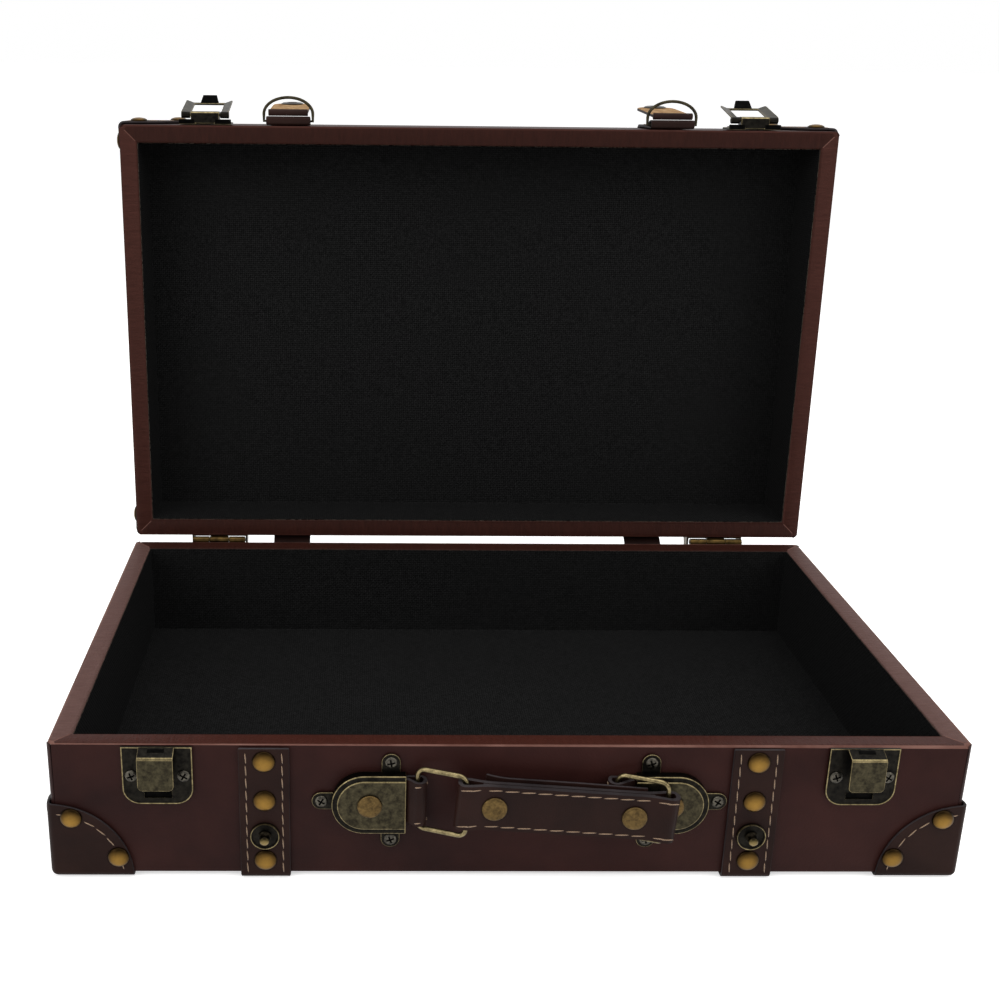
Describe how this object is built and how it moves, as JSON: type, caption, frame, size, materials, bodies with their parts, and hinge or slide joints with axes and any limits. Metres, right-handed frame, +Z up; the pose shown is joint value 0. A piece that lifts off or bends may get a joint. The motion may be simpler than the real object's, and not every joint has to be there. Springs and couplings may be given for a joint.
{
  "type": "suitcase keepsake box",
  "caption": "Small leathercloth suitcase box with a lined base tray, stop-hinged lid, swing hasps, snap straps and a hinged ring handle.",
  "frame": {"origin": "under the middle of the whole open box, on the plane that the two straps rest on; the middle of the base tray is 25.1 mm in front of it", "axes": "+X along the width to the right of the front, -Y out of the front wall that carries the handle, +Z up"},
  "size_m": [0.3816, 0.3028, 0.3031],
  "materials": {
    "cover_leathercloth": "dark brown grained leathercloth",
    "trim_leather": "near-black brown grained strap leather",
    "board": "plain board",
    "lining": "coarse black weave",
    "bronze": "antique bronze plating with rubbed edges",
    "brass": "worn brass"
  },
  "bodies": {
    "base": {"base_leather_cover": "cover_leathercloth", "base_wall_boards": "board", "base_bottom_board": "board", "base_fabric_lining": "lining", "base_corner_front_left": "trim_leather", "base_corner_front_right": "trim_leather", "base_corner_back_right": "trim_leather", "base_corner_back_left": "trim_leather", "base_strap_left": "trim_leather", "base_strap_right": "trim_leather", "strap_bridge_left": "trim_leather", "strap_bridge_right": "trim_leather", "snap_stud_left": "brass", "snap_stud_right": "brass", "latch_keeper_left": "bronze", "latch_keeper_right": "bronze", "base_hinge_leaf_left": "brass", "base_hinge_leaf_right": "brass", "hinge_pin_left": "brass", "hinge_pin_right": "brass", "handle_cap_left": "bronze", "handle_cap_right": "bronze", "cap_rivet_left": "brass", "cap_rivet_right": "brass", "handle_tab_left": "trim_leather", "handle_tab_right": "trim_leather"},
    "lid": {"lid_leather_cover": "cover_leathercloth", "lid_wall_boards": "board", "lid_top_board": "board", "lid_fabric_lining": "lining", "lid_corner_front_left": "trim_leather", "lid_corner_front_right": "trim_leather", "lid_corner_back_right": "trim_leather", "lid_corner_back_left": "trim_leather", "lid_strap_left": "trim_leather", "lid_strap_right": "trim_leather", "latch_plate_left": "bronze", "latch_plate_right": "bronze", "hasp_pin_left": "bronze", "hasp_pin_right": "bronze", "lid_hinge_leaf_left": "brass", "lid_hinge_leaf_right": "brass", "strap_chape_left": "trim_leather", "strap_chape_right": "trim_leather"},
    "hasp_left": {"latch_hasp_left": "bronze"},
    "hasp_right": {"latch_hasp_right": "bronze"},
    "flap_left": {"strap_flap_left": "trim_leather", "snap_socket_left": "brass"},
    "flap_right": {"strap_flap_right": "trim_leather", "snap_socket_right": "brass"},
    "hoop_left": {"strap_hoop_left": "bronze"},
    "hoop_right": {"strap_hoop_right": "bronze"},
    "ring_left": {"handle_ring_left": "bronze"},
    "ring_right": {"handle_ring_right": "bronze"},
    "handle": {"handle_strap": "trim_leather", "handle_rivet_left": "brass", "handle_rivet_right": "brass"}
  },
  "joints": [
    {"name": "lid_hinge", "type": "hinge", "parent": "base", "child": "lid", "pos_m": [0, 0.0894, 0.0621], "axis": [1, 0, 0], "range_deg": [0, 92], "deforming": ["strap_bridge_left", "strap_bridge_right"]},
    {"name": "hasp_swing_left", "type": "hinge", "parent": "lid", "child": "hasp_left", "pos_m": [-0.143, 0.10138, 0.29332], "axis": [1, 0, 0], "range_deg": [0, 167]},
    {"name": "hasp_swing_right", "type": "hinge", "parent": "lid", "child": "hasp_right", "pos_m": [0.143, 0.10138, 0.29332], "axis": [1, 0, 0], "range_deg": [0, 167]},
    {"name": "flap_swing_left", "type": "hinge", "parent": "lid", "child": "flap_left", "pos_m": [-0.1, 0.10083, 0.29494], "axis": [1, 0, 0], "range_deg": [0, 176]},
    {"name": "flap_swing_right", "type": "hinge", "parent": "lid", "child": "flap_right", "pos_m": [0.1, 0.10083, 0.29494], "axis": [1, 0, 0], "range_deg": [0, 176]},
    {"name": "hoop_tilt_left", "type": "hinge", "parent": "lid", "child": "hoop_left", "pos_m": [-0.1, 0.10228, 0.29059], "axis": [1, 0, 0], "range_deg": [0, 78.76]},
    {"name": "hoop_tilt_right", "type": "hinge", "parent": "lid", "child": "hoop_right", "pos_m": [0.1, 0.10228, 0.29059], "axis": [1, 0, 0], "range_deg": [0, 78.76]},
    {"name": "ring_swing_left", "type": "hinge", "parent": "base", "child": "ring_left", "pos_m": [-0.038, -0.1411, 0.0402], "axis": [0, 0, -1], "range_deg": [0, 137]},
    {"name": "handle_swing", "type": "hinge", "parent": "ring_left", "child": "handle", "pos_m": [-0.01883, -0.14808, 0.0417], "axis": [0, 0, -1], "range_deg": [-137, 0]},
    {"name": "ring_swing_right", "type": "hinge", "parent": "base", "child": "ring_right", "pos_m": [0.0428, -0.1411, 0.0376], "axis": [0, 0, -1], "range_deg": [0, 137]}
  ],
  "couplings": [
    {"joint": "handle_swing", "follows": "ring_swing_left", "ratio": -1},
    {"joint": "ring_swing_right", "follows": "ring_swing_left", "ratio": 1},
    {"joint": "hoop_tilt_left", "follows": "flap_swing_left", "ratio": 0.4475},
    {"joint": "hoop_tilt_right", "follows": "flap_swing_right", "ratio": 0.4475}
  ]
}
